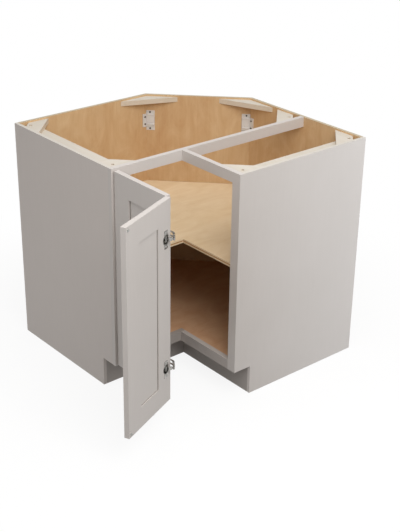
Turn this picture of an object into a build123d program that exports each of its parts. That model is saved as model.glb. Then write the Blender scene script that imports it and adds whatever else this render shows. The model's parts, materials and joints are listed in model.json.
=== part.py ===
from build123d import *
import os
from math import cos, radians, sin, tan

# Easy reach corner base cabinet, millimetres, z up. It stands on a square footprint whose back
# corner is in the corner of the room. The origin is on the floor in the middle of that square,
# the left leg runs along the wall x = -half and the right leg along the wall y = +half. The two
# legs mirror each other in the plane y = -x, apart from the joints of the top rails.

# Box
cabinet_width = 914.4  # along each wall
leg_depth = 609.6  # from the wall to the front of the face frame
cabinet_height = 876.3
corner_clip = 304.8  # cut off the back corner, measured along each wall
side_thickness = 12.7
back_thickness = 12.7
bottom_thickness = 12.7
bottom_drop = 3.2  # the bottom's top face lies this far under the bottom rails' top

# Face frame
frame_thickness = 19.05
frame_member = 38.1

# Toe space
toe_height = 114.3
toe_depth = 76.2
toe_thickness = 19.05

# Shelf
shelf_top = 508.0
shelf_thickness = 15.875
shelf_setback = 25.4  # behind the back of the face frame
shelf_clearance = 0.8
pin_radius = 2.5
pin_clearance = 0.05
pin_depth = 8.0
pin_reach = 9.0
pin_plate = 1.5
pin_plate_width = 10.0
pin_collar = 8.0
pin_inset = 90.0

# Stiffening under the worktop
stretcher_width = 76.2
stretcher_thickness = 19.05
gusset_leg = 127.0
beam_gusset_share = 0.45  # of the room from the beam to the seam, at most
gusset_thickness = 19.05
gusset_drop = 6.35  # the gussets' top face lies this far under the cabinet's top
front_gusset_clip = 12.0
back_gusset_clip = 40.0
worktop_hole_radius = 6.0
worktop_hole_inset = 30.0

# Seam brackets
bracket_drop = 39.9  # from the seam braces' underside to the brackets' top
bracket_height = 83.0
bracket_width = 34.0
bracket_sheet = 2.0
bracket_block_height = 54.0
bracket_block_depth = 6.0
bracket_taper = 12.0  # of the raised block's sides, in degrees
bracket_leaf = 20.0
bracket_leaf_depth = 4.0

# Doors
door_thickness = 19.05
door_member_share = 0.2885  # width of a door's stiles and rails, as a share of its width
cup_wood = 2.0  # least wood between a hinge cup and the groove for the panel
door_reveal = 6.35  # left free of the face frame around the doors
door_gap = 3.0  # between a closed door and the face frame
fold_gap = 1.1  # between each door's edge and the corner line that both share
panel_recess = 6.0
panel_thickness = 9.5
groove_depth = 9.5
groove_clearance = 0.1
panel_float = 0.5
edge_chamfer = 0.8
bumper_size = 8.0
bumper_inset = 12.0
bumper_clearance = 0.3

# Pose in which the cabinet is drawn
open_angle = 90.0  # of the left door
fold_ratio = 0.251  # turn of the right door on the left one for each degree of opening

# Hinges, seen in plan. Distances across a door run from its hinged edge, depths from its face.
hinge_inset = 135.0  # from a door's end to the hinge's middle
cup_radius = 17.5
cup_wall = 0.8
cup_depth = 12.3
cup_clearance = 0.1
wing_height = 31.5
wing_gap = 15.4
wing_width = 21.0
wing_thickness = 1.3
lug_width = 5.0
lug_inset = 1.6  # from the cup's inside to the lug's face, at the pin's middle
hinge_pin_radius = 1.5
hinge_pin_clearance = 0.05
open_pivot_clearance = 0.3
link_width = 4.0
link_thickness = 4.0
link_chamfer = 1.0
eye_radius = 3.2
eye_sides = 8
cheek_thickness = 1.5
layer_gap = 0.3
base_plate = 2.0
base_half_height = 26.0
base_eye_radius = 3.6

# Frame hinge: the left door turns about an upright line inside its hinged edge. Two equal levers
# swing on a base on the stile and keep parallel to each other and to that line's distance from
# the cup's pin. The coupler that joins them reaches the cup's pin and never turns.
door_pivot = (8.2, 7.5)  # across the door and into it
lever_reach = 15.0  # from the stile's inner edge to the first lever's base pivot
lever_setback = 5.0  # from the frame's front to the same pivot
second_lever_offset = (-9.0, 6.4)
frame_cup_centre = 22.5
frame_cup_pivot = (16.1, 16.0)
coupler_bends = ((0.42, 0.0), (0.70, 12.8))  # along the link, as a share, and to its side

# Fold hinge: an arm on the left door carries a lever that stays parallel to the right door and a
# coupler that stays parallel to the left one, so the right door turns about the corner line.
fold_cup_centre = 30.9
fold_cup_pivot = (24.6, 15.4)
fold_arm_reach = 13.05  # past the corner line
fold_arm_rise = 3.7  # behind the left door's back
fold_arm_length = 46.0
fold_arm_width = 18.0
fold_arm_inset = 4.0
fold_bends = ((0.585, 6.4),)

# Sizes that follow from the ones above
seam_slant = tan(radians(22.5))  # of the mitres where the diagonal meets the backs
half = cabinet_width / 2
frame_front = leg_depth - half
frame_back = frame_front - frame_thickness
side_inner = half - side_thickness
back_inner = half - back_thickness
stile_edge = half - frame_member
toe_front = frame_front - toe_depth
toe_back = toe_front - toe_thickness
rail_bottom = cabinet_height - frame_member
bottom_top = toe_height + frame_member - bottom_drop
bottom_under = bottom_top - bottom_thickness
shelf_under = shelf_top - shelf_thickness
pin_level = shelf_under - pin_plate - pin_radius
gusset_top = cabinet_height - gusset_drop
gusset_under = gusset_top - gusset_thickness
stretcher_under = gusset_under - stretcher_thickness
seam_outer = half - corner_clip
seam_inner = seam_outer - back_thickness * seam_slant
beam_room = frame_back + seam_inner
beam_gusset_leg = min(gusset_leg, beam_room * beam_gusset_share)
door_bottom = toe_height + door_reveal
door_height = cabinet_height - toe_height - 2 * door_reveal
door_width = cabinet_width - leg_depth - door_gap - door_thickness - door_reveal - fold_gap
cup_room = fold_cup_centre + cup_radius + cup_wood + groove_depth
door_member = max(door_width * door_member_share, cup_room)
hinge_levels = (door_bottom + door_height - hinge_inset, door_bottom + hinge_inset)
mirror_plane = Plane(origin=(0, 0, 0), x_dir=(0, 0, 1), z_dir=(1, 1, 0))

os.makedirs("parts", exist_ok=True)


def save(piece, name):
    """Label a finished piece and write it under its name."""
    piece.part.label = name
    export_step(piece.part, f"parts/{name}.step")


def direction(angle):
    """Unit vector in plan at an angle in degrees."""
    return Vector(cos(radians(angle)), sin(radians(angle)), 0)


def plan_board(corners, bottom, top, right_leg=False):
    """Flat board with a plan outline, drawn for the left leg and mirrored for the right leg."""
    with BuildPart() as board:
        with BuildSketch(Plane.XY.offset(bottom)):
            with BuildLine():
                Polyline(*corners, close=True)
            make_face()
        extrude(amount=top - bottom)
        if right_leg:
            mirror(about=mirror_plane, mode=Mode.REPLACE)
    return board


def rectangle(x0, x1, y0, y1):
    """Corners of a rectangle in plan."""
    return [(x0, y0), (x1, y0), (x1, y1), (x0, y1)]


# The walls of the left leg, each as a plane on its inner face with z up and the normal inwards
def side_wall(along):
    """Inner face of the left side panel at a distance along x."""
    return Plane(origin=(along, -side_inner, 0), x_dir=(-1, 0, 0), z_dir=(0, 1, 0))


def back_wall(along):
    """Inner face of the left back panel at a distance along y."""
    return Plane(origin=(-back_inner, along, 0), x_dir=(0, 1, 0), z_dir=(1, 0, 0))


def diagonal_wall(along):
    """Inner face of the diagonal back at a distance from its left seam."""
    start = Vector(-back_inner, seam_inner, 0) + direction(45) * along
    return Plane(origin=start, x_dir=direction(45), z_dir=direction(-45))


diagonal_length = (back_inner - seam_inner) * 2**0.5
side_pins = (frame_back - shelf_setback - pin_inset, pin_inset - back_inner)
back_pin = (seam_inner - side_inner) / 2


def pin_holes(wall):
    """Blind hole for a shelf pin in a wall."""
    with BuildSketch(wall) as hole:
        with Locations((0, pin_level)):
            Circle(pin_radius + pin_clearance)
    extrude(hole.sketch, amount=-pin_depth - pin_clearance, mode=Mode.SUBTRACT)


# Side panels, with the toe space cut out of the front corner
for side in ("left", "right"):
    with BuildPart() as side_panel:
        with BuildSketch(Plane.XZ.offset(side_inner)):
            with BuildLine():
                Polyline(
                    (-half, 0),
                    (toe_front, 0),
                    (toe_front, toe_height),
                    (frame_back, toe_height),
                    (frame_back, cabinet_height),
                    (-half, cabinet_height),
                    close=True,
                )
            make_face()
        extrude(amount=side_thickness)
        for place in side_pins:
            pin_holes(side_wall(place))
        if side == "right":
            mirror(about=mirror_plane, mode=Mode.REPLACE)
    save(side_panel, f"{side}_side_panel")

# Back panels, mitred where they meet the diagonal
for side in ("left", "right"):
    with BuildPart() as back_panel:
        with BuildSketch():
            with BuildLine():
                Polyline(
                    (-half, -side_inner),
                    (-back_inner, -side_inner),
                    (-back_inner, seam_inner),
                    (-half, seam_outer),
                    close=True,
                )
            make_face()
        extrude(amount=cabinet_height)
        pin_holes(back_wall(back_pin))
        if side == "right":
            mirror(about=mirror_plane, mode=Mode.REPLACE)
    save(back_panel, f"{side}_back_panel")

with BuildPart() as diagonal_back:
    with BuildSketch():
        with BuildLine():
            Polyline(
                (-half, seam_outer),
                (-back_inner, seam_inner),
                (-seam_inner, back_inner),
                (-seam_outer, half),
                close=True,
            )
        make_face()
    extrude(amount=cabinet_height)
    pin_holes(diagonal_wall(diagonal_length / 2))
save(diagonal_back, "diagonal_back_panel")


def floor_outline(front, clearance):
    """L-shaped outline with the clipped back corner, up to a front edge on each leg."""
    wall = side_inner - clearance
    back = back_inner - clearance
    seam = seam_inner - clearance * seam_slant
    return [
        (-back, -wall),
        (front, -wall),
        (front, -front),
        (wall, -front),
        (wall, back),
        (-seam, back),
        (-back, seam),
    ]


bottom_panel = plan_board(floor_outline(frame_back, 0), bottom_under, bottom_top)
save(bottom_panel, "bottom_panel")

shelf_front = frame_back - shelf_setback
shelf = plan_board(floor_outline(shelf_front, shelf_clearance), shelf_under, shelf_top)
save(shelf, "shelf")


def shelf_pin(wall):
    """Shelf pin: a round peg in the wall with a flat seat and a collar on it."""
    with BuildSketch(wall) as peg:
        with Locations((0, pin_level)):
            Circle(pin_radius)
    extrude(peg.sketch, amount=-pin_depth)
    with BuildSketch(wall) as seat:
        with Locations((0, shelf_under)):
            Rectangle(pin_plate_width, pin_plate, align=(Align.CENTER, Align.MAX))
    extrude(seat.sketch, amount=pin_reach)
    with BuildSketch(wall) as collar:
        with Locations((0, shelf_under)):
            Rectangle(pin_plate_width, pin_collar, align=(Align.CENTER, Align.MAX))
    extrude(collar.sketch, amount=pin_plate)


with BuildPart() as shelf_pins:
    for place in side_pins:
        shelf_pin(side_wall(place))
    shelf_pin(back_wall(back_pin))
    mirror(about=mirror_plane)
    shelf_pin(diagonal_wall(diagonal_length / 2))
save(shelf_pins, "shelf_pins")

# Face frame. The stiles run full height, and the left top rail runs on past the inner corner to
# the wall behind, as the beam that carries the worktop there.
stile = rectangle(frame_back, frame_front, -half, -stile_edge)
for side in ("left", "right"):
    frame_stile = plan_board(stile, toe_height, cabinet_height, side == "right")
    save(frame_stile, f"{side}_stile")

beam = rectangle(frame_back, frame_front, -stile_edge, back_inner)
left_top_rail = plan_board(beam, rail_bottom, cabinet_height)
save(left_top_rail, "left_top_rail")

short_rail = rectangle(frame_back, frame_front, -stile_edge, -frame_front)
right_top_rail = plan_board(short_rail, rail_bottom, cabinet_height, True)
save(right_top_rail, "right_top_rail")

corner_rail = rectangle(frame_back, frame_front, -stile_edge, -frame_back)
rail_top = toe_height + frame_member
left_bottom_rail = plan_board(corner_rail, toe_height, rail_top)
save(left_bottom_rail, "left_bottom_rail")
right_bottom_rail = plan_board(short_rail, toe_height, rail_top, True)
save(right_bottom_rail, "right_bottom_rail")

# Plinth: the toe boards under the front edges and a support under the middle of the bottom
corner_toe = rectangle(toe_back, toe_front, -side_inner, -toe_back)
left_toe_board = plan_board(corner_toe, 0, bottom_under)
save(left_toe_board, "left_toe_board")
short_toe = rectangle(toe_back, toe_front, -side_inner, -toe_front)
right_toe_board = plan_board(short_toe, 0, bottom_under, True)
save(right_toe_board, "right_toe_board")

support_half = direction(45) * (toe_thickness / 2)
front_end = Vector(toe_back, -toe_back)
back_end = Vector(-(back_inner + seam_inner) / 2, (back_inner + seam_inner) / 2)
with BuildPart() as base_support:
    with BuildSketch():
        with BuildLine():
            Polyline(
                front_end - support_half,
                front_end + support_half,
                back_end + support_half,
                back_end - support_half,
                close=True,
            )
        make_face()
    extrude(amount=bottom_under)
save(base_support, "base_support")

# Flat stretchers along the side panels, on which the corner gussets of each side lie
strip = rectangle(-back_inner, frame_back, -side_inner, -side_inner + stretcher_width)
for side in ("left", "right"):
    side_stretcher = plan_board(strip, stretcher_under, gusset_under, side == "right")
    save(side_stretcher, f"{side}_side_stretcher")


def gusset(corner, x_sign, y_sign, leg, clip, name, right_leg=False):
    """Triangular gusset in a square corner, with a hole for a worktop screw."""
    x, y = corner
    with BuildPart() as plate:
        with BuildSketch(Plane.XY.offset(gusset_under)):
            with BuildLine():
                Polyline(
                    (x + x_sign * clip, y),
                    (x + x_sign * leg, y),
                    (x, y + y_sign * leg),
                    (x, y + y_sign * clip),
                    close=True,
                )
            make_face()
            with Locations((x + x_sign * worktop_hole_inset, y + y_sign * worktop_hole_inset)):
                Circle(worktop_hole_radius, mode=Mode.SUBTRACT)
        extrude(amount=gusset_thickness)
        if right_leg:
            mirror(about=mirror_plane, mode=Mode.REPLACE)
    save(plate, name)


front_corner = (frame_back, -side_inner)
back_corner = (-back_inner, -side_inner)
beam_corner = (frame_back, back_inner)
for side in ("left", "right"):
    on_right = side == "right"
    gusset(front_corner, -1, 1, gusset_leg, front_gusset_clip, f"front_{side}_gusset", on_right)
    gusset(back_corner, 1, 1, gusset_leg, back_gusset_clip, f"back_{side}_gusset", on_right)
gusset(beam_corner, -1, -1, beam_gusset_leg, back_gusset_clip, "beam_gusset")

# Braces in the two blunt corners where the diagonal meets the back panels
seam = Vector(-back_inner, seam_inner)
brace_leg = beam_gusset_leg
brace_outline = [seam, seam + Vector(0, -brace_leg), seam + direction(45) * brace_leg]
for side in ("left", "right"):
    seam_brace = plan_board(brace_outline, gusset_under, gusset_top, side == "right")
    save(seam_brace, f"{side}_seam_brace")

# Seam brackets: a tall leaf with a raised block on the diagonal and a short leaf on the back
bracket_middle = gusset_under - bracket_drop - bracket_height / 2
for side in ("left", "right"):
    with BuildPart() as seam_bracket:
        with BuildSketch(diagonal_wall(bracket_width / 2)):
            with Locations((0, bracket_middle)):
                Rectangle(bracket_width, bracket_height)
        extrude(amount=bracket_sheet)
        with BuildSketch(diagonal_wall(bracket_width / 2)):
            with Locations((0, bracket_middle)):
                Rectangle(bracket_width, bracket_block_height)
        extrude(amount=bracket_block_depth, taper=bracket_taper)
        with BuildSketch(back_wall(seam_inner)):
            with Locations((-bracket_leaf / 2, bracket_middle)):
                Rectangle(bracket_leaf, bracket_block_height)
        extrude(amount=bracket_leaf_depth)
        if side == "right":
            mirror(about=mirror_plane, mode=Mode.REPLACE)
    save(seam_bracket, f"{side}_seam_bracket")

# Plan positions with the left door opened to an angle: first the line it turns about, then the
# door's plane, with x across the door from its hinged edge and y into it from its face
closed_corner = Vector(frame_front + door_gap + door_thickness, -half + door_reveal)
hinge_line = closed_corner + Vector(-door_pivot[1], door_pivot[0])
left_across = direction(90 - open_angle)
left_inward = direction(180 - open_angle)
left_corner = hinge_line - left_across * door_pivot[0] - left_inward * door_pivot[1]
left_plane = Plane(
    origin=left_corner + Vector(0, 0, door_bottom), x_dir=left_across, z_dir=(0, 0, 1)
)

# Positions of the frame hinge's pivots in plan
lever_vector = left_across * (frame_cup_pivot[0] - door_pivot[0])
lever_vector = lever_vector + left_inward * (frame_cup_pivot[1] - door_pivot[1])
lever_base = Vector(frame_front - lever_setback, -stile_edge + lever_reach)
second_base = lever_base + Vector(*second_lever_offset)
lever_end = lever_base + lever_vector
second_end = second_base + lever_vector
coupler_end = hinge_line + lever_vector

# The right door's plane: x across the door from its folded edge, y into it from its face
fold_line = left_corner + left_across * (door_width + fold_gap)
right_across = direction((fold_ratio - 1) * open_angle)
right_inward = direction(90 + (fold_ratio - 1) * open_angle)
right_corner = fold_line + right_across * fold_gap
right_plane = Plane(
    origin=right_corner + Vector(0, 0, door_bottom), x_dir=right_across, z_dir=(0, 0, 1)
)

# Positions of the fold hinge's pivots in plan
arm_pivot = (
    fold_line + left_across * fold_arm_reach + left_inward * (door_thickness + fold_arm_rise)
)
fold_lever_vector = (
    right_across * (fold_gap + fold_cup_pivot[0]) + right_inward * fold_cup_pivot[1]
)
fold_lever_end = arm_pivot + fold_lever_vector
fold_coupler_end = fold_line + fold_lever_vector

groove_front = panel_recess - groove_clearance
groove_back = panel_recess + panel_thickness + groove_clearance


def door_point(plane, across, inward):
    """Plan point of a door at a distance across it and into it."""
    point = plane.origin + plane.x_dir * across + plane.y_dir * inward
    return Vector(point.X, point.Y)


def cup_hole(plane, centre):
    """Round pockets for the two hinge cups in a door's back."""
    for level in hinge_levels:
        spot = door_point(plane, centre, door_thickness) + Vector(0, 0, level)
        with BuildSketch(Plane(origin=spot, x_dir=plane.x_dir, z_dir=plane.y_dir)) as pocket:
            Circle(cup_radius + cup_clearance)
        extrude(pocket.sketch, amount=-cup_depth - cup_clearance, mode=Mode.SUBTRACT)


def door_stile(plane, name, far_side, cup_centre=None):
    """Upright of a door, with the groove for the panel in its inner edge."""
    with BuildPart() as upright:
        with BuildSketch(plane):
            with BuildLine():
                Polyline(
                    (edge_chamfer, 0),
                    (door_member, 0),
                    (door_member, groove_front),
                    (door_member - groove_depth, groove_front),
                    (door_member - groove_depth, groove_back),
                    (door_member, groove_back),
                    (door_member, door_thickness),
                    (0, door_thickness),
                    (0, edge_chamfer),
                    close=True,
                )
            make_face()
        extrude(amount=door_height)
        if far_side:
            middle = plane.origin + plane.x_dir * (door_width / 2)
            mirror(about=Plane(origin=middle, z_dir=plane.x_dir), mode=Mode.REPLACE)
        if cup_centre is not None:
            cup_hole(plane, cup_centre)
    save(upright, name)


def door_rail(plane, name, at_top):
    """Cross member of a door, with tongues that enter the stiles' grooves."""
    length = door_width - 2 * door_member
    tongue = groove_depth - panel_float
    start = plane.origin + plane.x_dir * door_member
    with BuildPart() as rail:
        with BuildSketch(Plane(origin=start, x_dir=plane.y_dir, z_dir=plane.x_dir)):
            with BuildLine():
                Polyline(
                    (0, edge_chamfer),
                    (0, door_member),
                    (groove_front, door_member),
                    (groove_front, door_member - groove_depth),
                    (groove_back, door_member - groove_depth),
                    (groove_back, door_member),
                    (door_thickness, door_member),
                    (door_thickness, 0),
                    (edge_chamfer, 0),
                    close=True,
                )
            make_face()
        extrude(amount=length)
        tongue_plane = Plane(
            origin=start - plane.x_dir * tongue, x_dir=plane.y_dir, z_dir=plane.x_dir
        )
        with BuildSketch(tongue_plane):
            with Locations((panel_recess, 0)):
                Rectangle(
                    panel_thickness, door_member - groove_depth, align=(Align.MIN, Align.MIN)
                )
        extrude(amount=length + 2 * tongue)
        if at_top:
            middle = plane.origin + Vector(0, 0, door_height / 2)
            mirror(about=Plane(origin=middle, z_dir=(0, 0, 1)), mode=Mode.REPLACE)
    save(rail, name)


def door_panel(plane, name):
    """Flat panel, floating in the grooves of the stiles and rails."""
    inset = door_member - groove_depth + panel_float
    with BuildPart() as panel:
        with BuildSketch(plane.offset(inset)):
            with Locations((inset, panel_recess)):
                Rectangle(
                    door_width - 2 * inset, panel_thickness, align=(Align.MIN, Align.MIN)
                )
        extrude(amount=door_height - 2 * inset)
    save(panel, name)


door_stile(left_plane, "left_door_outer_stile", False, frame_cup_centre)
door_stile(left_plane, "left_door_inner_stile", True)
door_stile(right_plane, "right_door_inner_stile", False, fold_cup_centre)
door_stile(right_plane, "right_door_outer_stile", True)
for side, plane in (("left", left_plane), ("right", right_plane)):
    door_rail(plane, f"{side}_door_top_rail", True)
    door_rail(plane, f"{side}_door_bottom_rail", False)
    door_panel(plane, f"{side}_door_panel")

# Soft bumpers on the right door's back, which meet the right stile when the doors are closed
with BuildPart() as door_bumpers:
    spot = door_point(right_plane, door_width - bumper_inset, door_thickness)
    for level in (bumper_inset, door_height - bumper_inset):
        base = Plane(
            origin=spot + Vector(0, 0, door_bottom + level), x_dir=right_across, z_dir=right_inward
        )
        with BuildSketch(base):
            Rectangle(bumper_size, bumper_size)
        extrude(amount=door_gap - bumper_clearance)
save(door_bumpers, "door_bumpers")

# Layers of a hinge, as distances from its middle: the coupler in the core, the first lever above
# it, the second lever below it, and the cheeks of the base outside both
core_half = link_thickness / 2
layer_low = core_half + layer_gap
layer_high = layer_low + link_thickness
cheek_low = layer_high + layer_gap
cheek_high = cheek_low + cheek_thickness
bore_radius = hinge_pin_radius + hinge_pin_clearance
open_bore_radius = hinge_pin_radius + open_pivot_clearance


def link_bar(start, end):
    """Straight bar in plan with chamfered ends, half its width longer at both ends."""
    along = (end - start).normalized()
    side = along.rotate(Axis.Z, 90)
    h = link_width / 2
    c = h - link_chamfer
    Polygon(
        start - along * h + side * c,
        start - along * c + side * h,
        end + along * c + side * h,
        end + along * h + side * c,
        end + along * h - side * c,
        end + along * c - side * h,
        start - along * c - side * h,
        start - along * h - side * c,
        align=None,
    )


def link_outline(start, end, bends=()):
    """Bent bar with an eye at both ends. Bends are shares along the link and offsets from it."""
    along = end - start
    side = along.rotate(Axis.Z, 90).normalized()
    points = [start]
    for share, offset in bends:
        points.append(start + along * share + side * offset)
    points.append(end)
    for first, last in zip(points, points[1:]):
        link_bar(first, last)
    with Locations(start, end):
        RegularPolygon(eye_radius, eye_sides)


def bore(point, radius):
    """Round hole of a link's eye."""
    with Locations(point):
        Circle(radius, mode=Mode.SUBTRACT)


def round_pin(point, low, high):
    """Round upright pin between two levels."""
    with BuildSketch(Plane.XY.offset(low)) as section_circle:
        with Locations(point):
            Circle(hinge_pin_radius)
    extrude(section_circle.sketch, amount=high - low)


def cheek(foot, foot_length, pivot, low):
    """Flat cheek that runs from the foot plate out to a pivot."""
    with BuildSketch(Plane.XY.offset(low)) as outline:
        with Locations(foot):
            Rectangle(foot_length, base_plate)
        with Locations(pivot):
            RegularPolygon(base_eye_radius, eye_sides)
        make_hull()
    extrude(outline.sketch, amount=cheek_thickness)


def hinge_base(level, name):
    """Plate on the stile's edge with a cheek above and below, each holding one lever's pin."""
    middle = (frame_back + frame_front) / 2
    plate_width = frame_thickness - 2 * base_plate
    foot = Vector(middle, -stile_edge + base_plate / 2)
    with BuildPart() as base:
        plate = Plane(
            origin=(middle, -stile_edge, level), x_dir=(-1, 0, 0), z_dir=(0, 1, 0)
        )
        with BuildSketch(plate):
            Rectangle(plate_width, 2 * base_half_height)
        extrude(amount=base_plate)
        cheek(foot, plate_width, lever_base, level + cheek_low)
        cheek(foot, plate_width, second_base, level - cheek_high)
        round_pin(lever_base, level + layer_low, level + cheek_high)
        round_pin(second_base, level - cheek_high, level - layer_low)
    save(base, name)


def frame_lever(level, name):
    """Straight bar above the coupler, with the stub pin on which the coupler sits."""
    with BuildPart() as lever:
        with BuildSketch(Plane.XY.offset(level + layer_low)):
            link_outline(lever_base, lever_end)
            bore(lever_base, bore_radius)
        extrude(amount=link_thickness)
        round_pin(lever_end, level - core_half, level + layer_low)
    save(lever, name)


def second_lever(level, name):
    """Straight bar below the coupler, whose far bore is a pivot left open."""
    with BuildPart() as lever:
        with BuildSketch(Plane.XY.offset(level - layer_high)):
            link_outline(second_base, second_end)
            bore(second_base, bore_radius)
            bore(second_end, open_bore_radius)
        extrude(amount=link_thickness)
    save(lever, name)


def frame_coupler(level, name):
    """Bent bar that reaches round the frame into the cup, with a tail for the second lever."""
    with BuildPart() as coupler:
        with BuildSketch(Plane.XY.offset(level - core_half)):
            link_outline(lever_end, coupler_end, coupler_bends)
            link_outline(lever_end, second_end)
            bore(lever_end, bore_radius)
            bore(coupler_end, open_bore_radius)
        extrude(amount=link_thickness)
        round_pin(second_end, level - layer_high, level - core_half)
    save(coupler, name)


def hinge_cup(plane, centre, pivot, level, name):
    """Round cup in a door's back, with a wing above and below it and a pin between two lugs."""
    across, inward = pivot
    back = door_point(plane, centre, door_thickness) + Vector(0, 0, level)
    face = Plane(origin=back, x_dir=plane.x_dir, z_dir=plane.y_dir)
    inside = cup_radius - cup_wall
    offset = across - centre
    chord = (inside**2 - offset**2) ** 0.5
    pin_half = chord - lug_inset
    lug_far = ((cup_radius - cup_wall / 2) ** 2 - (abs(offset) + lug_width / 2) ** 2) ** 0.5
    with BuildPart() as cup:
        with BuildSketch(face):
            Circle(cup_radius)
            Circle(inside, mode=Mode.SUBTRACT)
        extrude(amount=-cup_depth)
        with BuildSketch(face.offset(-cup_depth)):
            Circle(cup_radius)
        extrude(amount=cup_wall)
        with BuildSketch(face):
            Rectangle(wing_width, 2 * wing_height)
            Rectangle(wing_width, 2 * wing_gap, mode=Mode.SUBTRACT)
        extrude(amount=wing_thickness)
        for sign in (1, -1):
            with BuildSketch(face):
                with Locations((offset, -sign * (pin_half + lug_far) / 2)):
                    Rectangle(lug_width, lug_far - pin_half)
            extrude(amount=-cup_depth)
        round_pin(door_point(plane, across, inward), level - pin_half, level + pin_half)
    save(cup, name)


def fold_arm(level, name):
    """Plate on the left door's back with a cheek that holds the lever's pin past its edge."""
    middle = door_width - fold_arm_inset - fold_arm_length / 2
    spot = door_point(left_plane, middle, door_thickness)
    foot = door_point(left_plane, middle, door_thickness + base_plate / 2)
    with BuildPart() as arm:
        face = Plane(origin=spot + Vector(0, 0, level), x_dir=left_across, z_dir=left_inward)
        with BuildSketch(face):
            Rectangle(fold_arm_length, fold_arm_width)
            with Locations((-fold_arm_length / 4, 0)):
                Rectangle(fold_arm_length / 2, 2 * base_half_height)
        extrude(amount=base_plate)
        turned = Location(foot, (0, 0, 90 - open_angle))
        cheek(turned, fold_arm_length - 2 * base_plate, arm_pivot, level + cheek_low)
        round_pin(arm_pivot, level + layer_low, level + cheek_high)
    save(arm, name)


def fold_lever(level, name):
    """Straight bar above the coupler, with the stub pin on which the coupler sits."""
    with BuildPart() as lever:
        with BuildSketch(Plane.XY.offset(level + layer_low)):
            link_outline(arm_pivot, fold_lever_end)
            bore(arm_pivot, bore_radius)
        extrude(amount=link_thickness)
        round_pin(fold_lever_end, level - core_half, level + layer_low)
    save(lever, name)


def fold_coupler(level, name):
    """Bent bar that reaches into the right door's cup, whose far bore is a pivot left open."""
    with BuildPart() as coupler:
        with BuildSketch(Plane.XY.offset(level - core_half)):
            link_outline(fold_lever_end, fold_coupler_end, fold_bends)
            bore(fold_lever_end, bore_radius)
            bore(fold_coupler_end, open_bore_radius)
        extrude(amount=link_thickness)
    save(coupler, name)


for place, level in zip(("upper", "lower"), hinge_levels):
    hinge_base(level, f"{place}_frame_hinge_base")
    frame_lever(level, f"{place}_frame_lever")
    second_lever(level, f"{place}_second_lever")
    frame_coupler(level, f"{place}_frame_coupler")
    hinge_cup(left_plane, frame_cup_centre, frame_cup_pivot, level, f"{place}_frame_cup")
    fold_arm(level, f"{place}_fold_arm")
    fold_lever(level, f"{place}_fold_lever")
    fold_coupler(level, f"{place}_fold_coupler")
    hinge_cup(right_plane, fold_cup_centre, fold_cup_pivot, level, f"{place}_fold_cup")
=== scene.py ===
import json
import math

import bpy
import numpy as np
from mathutils import Matrix, Vector


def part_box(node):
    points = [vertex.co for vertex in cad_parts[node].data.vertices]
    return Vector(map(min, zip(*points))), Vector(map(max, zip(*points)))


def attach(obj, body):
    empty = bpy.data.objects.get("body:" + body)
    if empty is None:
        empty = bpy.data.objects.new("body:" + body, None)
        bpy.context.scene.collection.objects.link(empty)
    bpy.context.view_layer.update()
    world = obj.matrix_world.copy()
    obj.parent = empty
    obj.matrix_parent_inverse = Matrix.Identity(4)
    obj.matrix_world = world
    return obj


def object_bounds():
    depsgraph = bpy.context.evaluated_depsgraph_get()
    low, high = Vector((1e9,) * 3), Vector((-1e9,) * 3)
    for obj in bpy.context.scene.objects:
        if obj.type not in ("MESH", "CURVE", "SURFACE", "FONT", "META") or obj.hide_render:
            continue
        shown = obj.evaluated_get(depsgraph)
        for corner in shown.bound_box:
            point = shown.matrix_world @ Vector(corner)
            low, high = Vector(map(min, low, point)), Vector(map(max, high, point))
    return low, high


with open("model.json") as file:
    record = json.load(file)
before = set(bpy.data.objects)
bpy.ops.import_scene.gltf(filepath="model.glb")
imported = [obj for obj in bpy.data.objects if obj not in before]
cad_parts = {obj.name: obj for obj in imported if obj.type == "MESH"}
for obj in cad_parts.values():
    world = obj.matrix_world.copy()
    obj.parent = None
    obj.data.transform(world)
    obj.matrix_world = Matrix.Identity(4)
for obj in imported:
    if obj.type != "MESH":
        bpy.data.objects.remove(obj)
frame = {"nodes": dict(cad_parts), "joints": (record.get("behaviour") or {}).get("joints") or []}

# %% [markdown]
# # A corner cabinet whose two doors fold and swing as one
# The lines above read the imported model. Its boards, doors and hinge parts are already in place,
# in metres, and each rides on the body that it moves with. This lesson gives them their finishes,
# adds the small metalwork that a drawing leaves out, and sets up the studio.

MM = 0.001

cad_low, cad_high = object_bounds()
nodes = frame["nodes"]
print("cabinet", [round(v, 4) for v in cad_high - cad_low], "m,", len(nodes), "solids by name")

# %% [markdown]
# ## The camera comes first
# The picture was taken off the open corner and a little above it, so both outer sides, the top and
# the folded doors show. The place, the turn and the focal length below were worked out from the
# cabinet's known sizes, so each edge falls where it does in the picture. The focal length came out
# in pixels; the sensor spans the picture's longer side, its height, so one ratio turns it into
# millimetres. The camera's three axes are written as vectors, which avoids guessing at Euler angles.

# %% Place the camera
eye = Vector((2.97725, -2.45788, 2.19518))
azimuth, elevation, roll = (math.radians(angle) for angle in (49.71, 25.86, 0.81))
sensor_mm = 36
picture_height_px = 532
focal_length_px = 1105.3

look = Vector((-math.sin(azimuth) * math.cos(elevation),
               math.cos(azimuth) * math.cos(elevation),
               -math.sin(elevation)))
flat = look.cross(Vector((0, 0, 1))).normalized()
steep = flat.cross(look)
across = flat * math.cos(roll) + steep * math.sin(roll)
upward = steep * math.cos(roll) - flat * math.sin(roll)

lens = bpy.data.cameras.new("studio_camera")
lens.sensor_width = sensor_mm
lens.lens = focal_length_px * sensor_mm / picture_height_px
camera = bpy.data.objects.new("studio_camera", lens)
axes = Matrix((across, upward, -look)).transposed()
camera.matrix_world = Matrix.Translation(eye) @ axes.to_4x4()
bpy.context.scene.collection.objects.link(camera)
bpy.context.scene.camera = camera
distance = (eye - (cad_low + cad_high) / 2).length
print("camera", round(lens.lens, 1), "mm lens,", round(distance, 2), "m away")

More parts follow.
